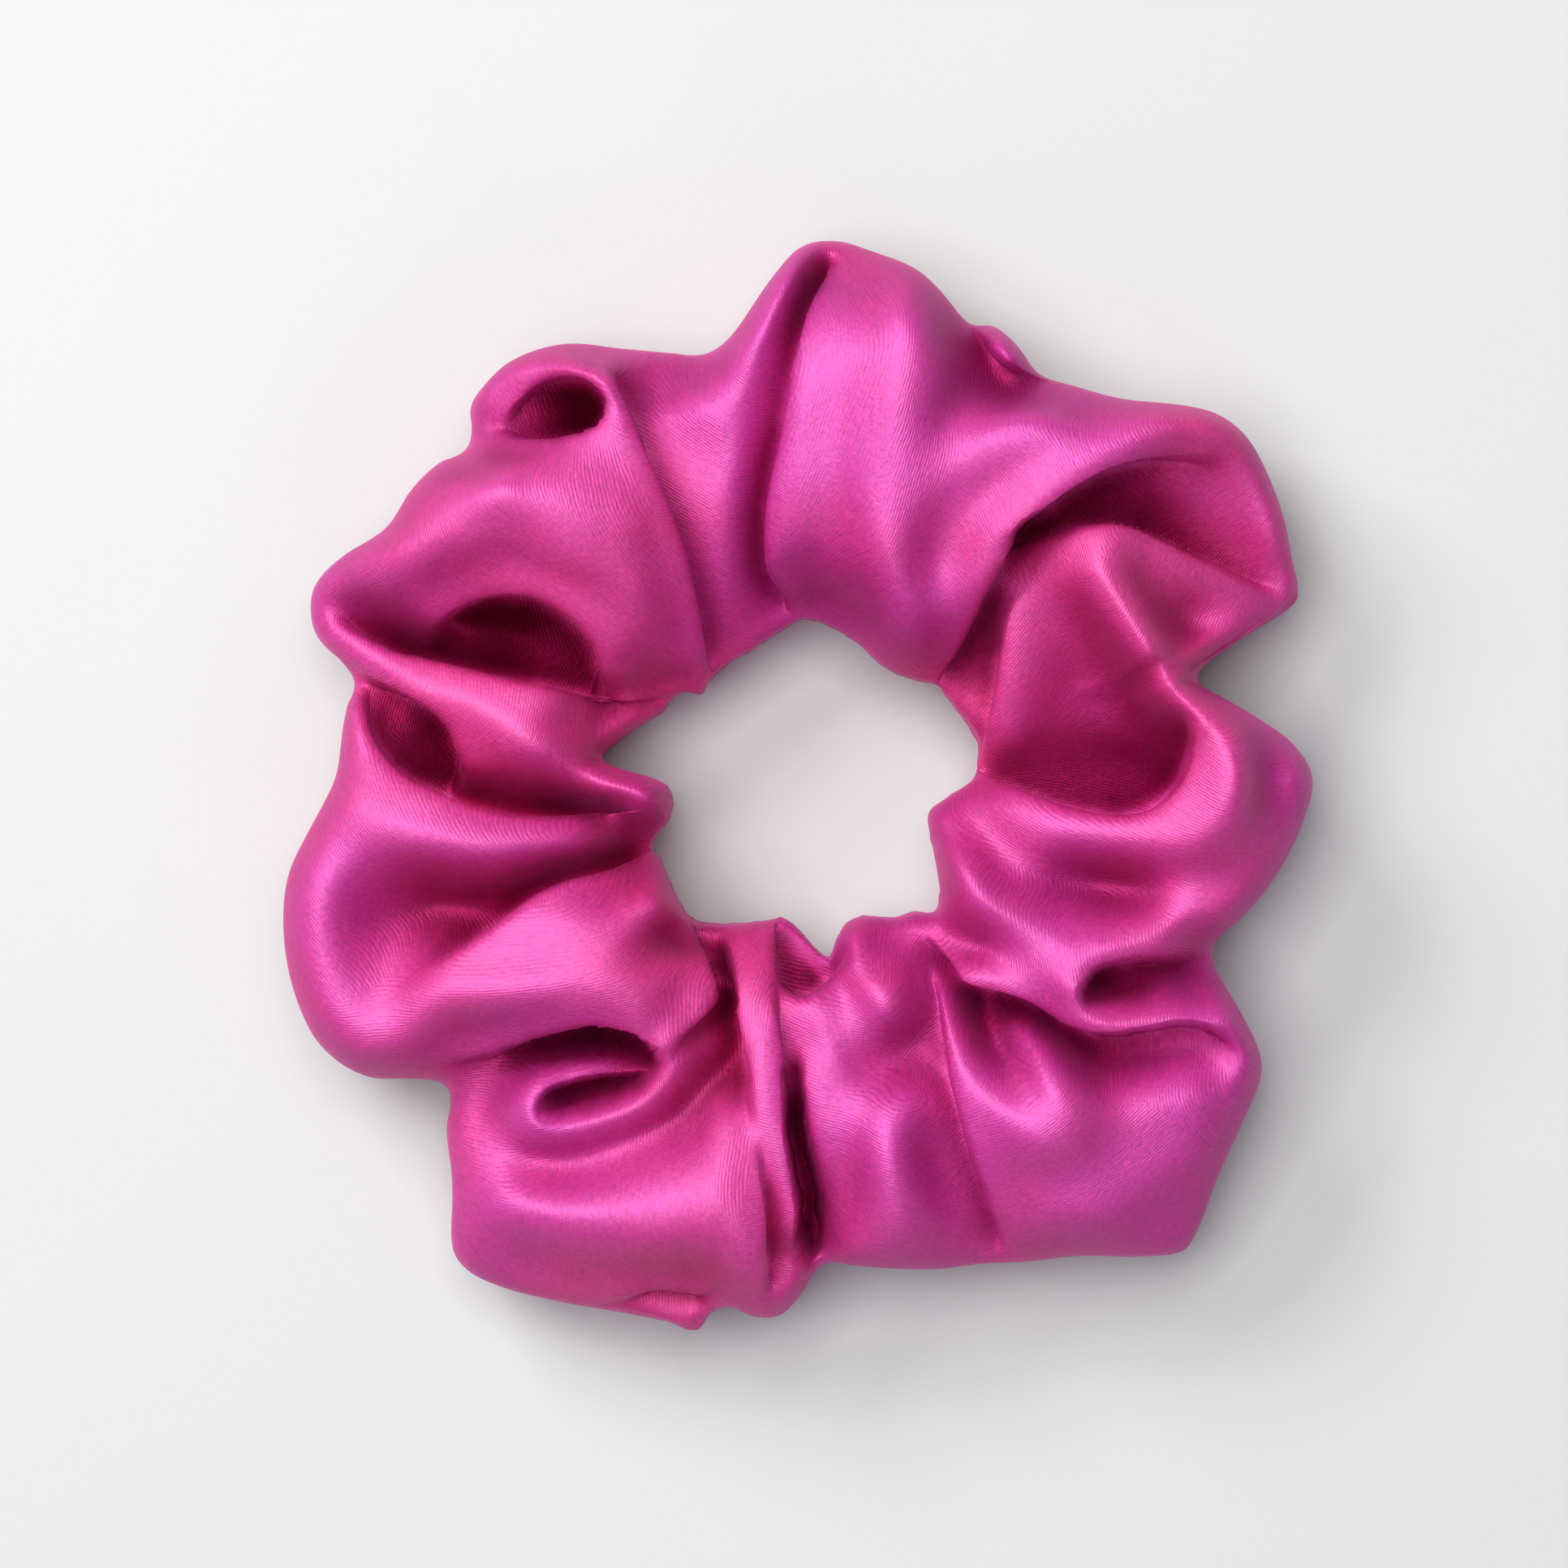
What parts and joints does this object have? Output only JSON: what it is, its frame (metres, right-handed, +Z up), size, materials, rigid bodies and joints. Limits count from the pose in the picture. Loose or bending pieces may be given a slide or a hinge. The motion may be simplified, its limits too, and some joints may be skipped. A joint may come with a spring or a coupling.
{
  "type": "scrunchie",
  "caption": "Magenta satin scrunchie: a gathered cloth tube with one long seam and one closing seam over a sewn loop of braided elastic.",
  "frame": {"origin": "centre of the outline box, on the surface it lies on", "axes": "+Z up through the hole, +Y along the longer side of the outline; the closing seam lies 66 degrees from +X towards +Y"},
  "size_m": [0.1128, 0.12, 0.0334],
  "materials": {
    "magenta_satin": "satin",
    "tube_seam_thread_magenta_needle": "matte",
    "tube_seam_thread_magenta_bobbin": "matte",
    "closing_thread_magenta": "matte",
    "white_braided_elastic": "matte",
    "white_tacking_thread_needle": "matte",
    "white_tacking_thread_bobbin": "matte"
  },
  "bodies": {
    "cover": {"satin_cover": "magenta_satin", "tube_seam_needle_thread": "tube_seam_thread_magenta_needle", "tube_seam_bobbin_thread": "tube_seam_thread_magenta_bobbin", "closing_seam_thread": "closing_thread_magenta"},
    "elastic": {"elastic_band": "white_braided_elastic", "elastic_join_needle_thread": "white_tacking_thread_needle", "elastic_join_bobbin_thread": "white_tacking_thread_bobbin"}
  },
  "joints": [
    {"name": "elastic_turn", "type": "hinge", "parent": "cover", "child": "elastic", "pos_m": [0.0015, 0.0009, 0.0056], "axis": [0, 0, 1], "continuous": true}
  ]
}
